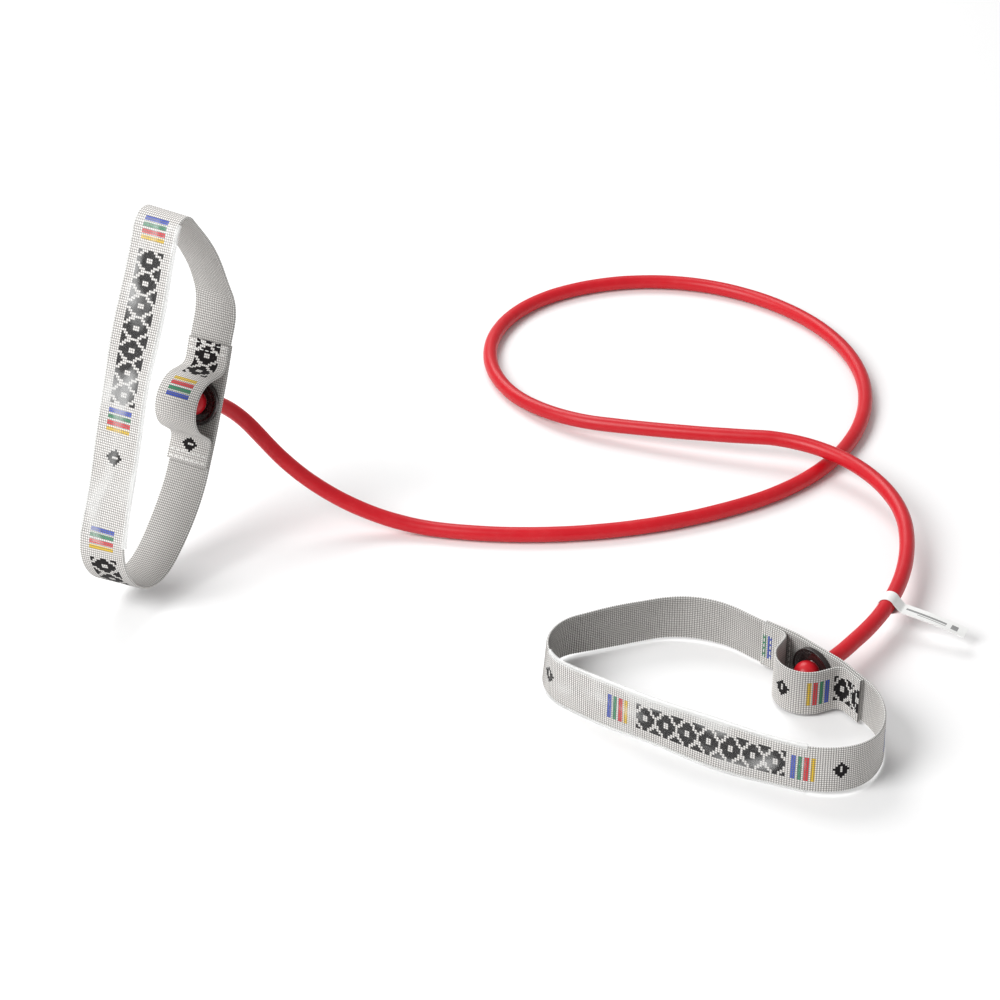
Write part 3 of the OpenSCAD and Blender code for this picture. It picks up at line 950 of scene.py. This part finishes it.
def cover_course():
    """Two flat feet, and between them an arch that clears the ball."""
    reach = LAP / 2 - FOOT
    slope = math.radians(COVER_SLOPE)
    slope_l = (COVER_RISE * math.sin(slope) - reach * (1 - math.cos(slope))) / (1 - math.cos(slope))
    crown_r = (reach - slope_l * math.cos(slope)) / math.sin(slope) - FOOT_BEND_R
    return [(FOOT, 0), (FOOT_BEND_R, COVER_SLOPE), (slope_l, 0), (crown_r, -2 * COVER_SLOPE), (slope_l, 0),
            (FOOT_BEND_R, COVER_SLOPE), (FOOT, 0)]


def build_hand(side, arcs, seed, bow, slack, strap_pattern, cover_pattern):
    """One hand loop with everything sewn to it. The two patterns say where the woven band starts."""
    place = hand_place(side)
    course = loop_course(arcs)
    slack_middle = course[0][0] + length_of([course[1]]) * 0.7 + course[2][0] / 2
    swell = (slack_middle, course[2][0] * 0.85, course[2][0] * slack)
    loop = strap(side + "_hand_webbing", place, course, strap_start(INNER_LAYER), strap_pattern, seed=seed,
                 bow=bow, swell=swell)
    cover = strap(side + "_cover_webbing", place, cover_course(), strap_start(COVER_LEVEL), cover_pattern,
                  flip=-1.0, hole=False, bow=bow)
    sleeve = grip_sleeve(side + "_clear_sleeve", place, arcs, seed, bow)
    disc = washer(side + "_dished_washer", place)
    under = INNER_LAYER - LAYER_GAP - 1.5 * WEBBING_T
    on_cover = COVER_LEVEL + WEBBING_T / 2
    cover_rows = [(sign * (LAP / 2 - 2 - row * 4), on_cover, under) for sign in (-1, 1) for row in (0, 1)]
    lap_rows = [(sign * 19, STRAP_FACE, under) for sign in (-1, 1)]
    cover_thread = stitches(side + "_cover_thread", place, cover_rows, bow)
    lap_thread = stitches(side + "_lap_thread", place, lap_rows, bow)
    for piece, node in ((loop, "strap"), (cover, "cover_strap"), (sleeve, "grip_sleeve"),
                        (cover_thread, "cover_stitching"), (lap_thread, "lap_stitching")):
        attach(piece, side + "_hand")
        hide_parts(f"{side}_{node}")
    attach(disc, side + "_washer")
    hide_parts(side + "_washer")
    plug = frame["nodes"][side + "_plug"]
    plug.data.materials.clear()
    plug.data.materials.append(PLUG)


# ---------------------------------------------------------------- the tag
def build_tag():
    """A satin ribbon folded round the tube, its two halves sewn and lying together beside it."""
    axis = joint_axis("tag_swivel")
    place = framed(joint_place("tag_swivel"), axis, UP) @ spin("X", TAG_SLOPE)
    ring_r = TUBE_R + 0.5
    half_gap = 0.22
    thick = 0.3
    opening = math.radians(38)
    turn = np.linspace(opening, 2 * math.pi - opening, 40)
    circle = np.stack((np.cos(turn), np.sin(turn)), axis=-1) * ring_r
    free = np.linspace(TUBE_R + TAG_L, ring_r + 3.2, 44)
    bow = 1.1 * np.sin((free - free[-1]) / (free[0] - free[-1]) * math.pi * 0.85)
    top = np.stack((free, half_gap + bow), axis=-1)
    bottom = np.stack((free[::-1], bow[::-1] - half_gap), axis=-1)
    path = np.vstack((top, circle, bottom))
    for _ in range(2):
        inner = np.stack((0.75 * path[:-1] + 0.25 * path[1:], 0.25 * path[:-1] + 0.75 * path[1:]), axis=1)
        path = np.vstack((path[:1], inner.reshape(-1, 2), path[-1:]))
    tangent = np.gradient(path, axis=0)
    tangent /= np.linalg.norm(tangent, axis=1)[:, None]
    normal = np.stack((-tangent[:, 1], tangent[:, 0]), axis=-1)
    travel = np.concatenate(([0.0], np.cumsum(np.linalg.norm(np.diff(path, axis=0), axis=1))))
    across = np.linspace(-TAG_W / 2, TAG_W / 2, 12)
    grids = []
    for side in (-0.5, 0.5):
        yz = path + normal * side * thick
        far = np.clip((path[:, 0] - ring_r) / TAG_L, 0, 1)
        curl = 0.5 * far[:, None] * (across[None, :] / (TAG_W / 2)) ** 2
        grid = np.zeros((len(path), len(across), 3))
        grid[:, :, 0] = across
        grid[:, :, 1] = yz[:, :1]
        grid[:, :, 2] = yz[:, 1:] + curl
        grids.append(grid @ place[:3, :3].T + place[:3, 3])
    u = np.broadcast_to(travel[:, None], grids[0].shape[:2])
    v = np.broadcast_to(across[None, :], grids[0].shape[:2])
    uv = np.stack((u, v), axis=-1)
    blank = np.stack((u + 500, v), axis=-1)
    kept = np.ones((len(path) - 1, len(across) - 1), bool)
    ribbon = slab("folded_tag", grids[0], grids[1], uv, blank, blank, kept, SATIN)
    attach(ribbon, "tag")
    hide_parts("label_tag")

    points = []
    faces = []
    beads = 7
    sides = 6
    t = np.linspace(-1, 1, beads)
    seam_y = ring_r + 3.6
    seam_bow = np.interp(seam_y, free[::-1], bow[::-1])
    for x in (-2.6, 0.0, 2.6):
        for outward in (-1, 1):
            base = len(points)
            for k in range(beads):
                for j in range(sides):
                    a = 2 * math.pi * j / sides
                    radius = 0.17 * (1 - abs(t[k]) ** 4 * 0.85)
                    lift = outward * (half_gap + thick / 2 + 0.08 * (1 - t[k] ** 2))
                    points.append((x + t[k] * 1.0, seam_y + radius * math.sin(a),
                                   seam_bow + lift + radius * math.cos(a)))
            faces += thread_faces(beads, sides, base)
    points = np.array(points) @ place[:3, :3].T + place[:3, 3]
    thread = mesh_object("tag_thread", points, faces, THREAD)
    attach(thread, "tag")
    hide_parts("label_stitching")


# ---------------------------------------------------------------- stage, light and camera
def build_stage():
    paint = Paint("stage_floor")
    place = paint.nodes.new("ShaderNodeTexCoord").outputs["Object"]
    tone = paint.noise(place, 1.5, 2.0)
    pale = paint.mix(tone, (0.90, 0.90, 0.90), (0.93, 0.93, 0.93))
    mesh = bpy.data.meshes.new("stage_floor")
    half = 6.0
    corners = [(-half, -half, 0), (half, -half, 0), (half, half, 0), (-half, half, 0)]
    mesh.from_pydata(corners, [], [(0, 1, 2, 3)])
    mesh.materials.append(paint.set(Base_Color=pale, Roughness=0.7))
    floor = bpy.data.objects.new("stage_floor", mesh)
    floor.location.z = cad_box[0].z - FLOOR_CLEAR_M
    bpy.context.scene.collection.objects.link(floor)


def area_light(name, place, aim, size, power):
    light = bpy.data.lights.new(name, "AREA")
    light.shape = "DISK"
    light.size = size
    light.energy = power
    lamp = bpy.data.objects.new(name, light)
    lamp.location = place
    lamp.rotation_mode = "QUATERNION"
    lamp.rotation_quaternion = (Vector(aim) - Vector(place)).to_track_quat("-Z", "Y")
    bpy.context.scene.collection.objects.link(lamp)


def build_light():
    world = bpy.data.worlds.new("studio")
    world.use_nodes = True
    world.node_tree.nodes["Background"].inputs["Color"].default_value = (1.0, 1.0, 1.0, 1.0)
    world.node_tree.nodes["Background"].inputs["Strength"].default_value = 0.42
    bpy.context.scene.world = world
    area_light("key_light", (-1.3, -0.9, 1.4), (0, 0, 0), 1.3, 39.0)
    area_light("back_light", (-0.5, 1.2, 1.4), (0, 0, 0), 1.2, 18.0)


def build_camera():
    """Looks along +Y from 33 degrees above the floor."""
    elevation = math.radians(33.0)
    distance = 1.798
    aim = Vector((-0.0132, 0.0003, TUBE_R * MM))
    back = Vector((0.0, -math.cos(elevation), math.sin(elevation)))
    camera = bpy.data.cameras.new("camera")
    camera.sensor_width = 36.0
    camera.lens = 108.25
    holder = bpy.data.objects.new("camera", camera)
    holder.location = aim + back * distance
    holder.rotation_mode = "QUATERNION"
    holder.rotation_quaternion = (-back).to_track_quat("-Z", "Y")
    bpy.context.scene.collection.objects.link(holder)
    bpy.context.scene.camera = holder


build_tube()
build_hand("left", LEFT_LOOP_ARCS, seed=0.6, bow=2.0, slack=0.08, strap_pattern=166.0, cover_pattern=124.0)
build_hand("right", RIGHT_LOOP_ARCS, seed=2.4, bow=7.0, slack=0.04, strap_pattern=77.5, cover_pattern=85.5)
build_tag()
build_stage()
build_light()
build_camera()
bpy.context.scene.view_settings.view_transform = "Standard"
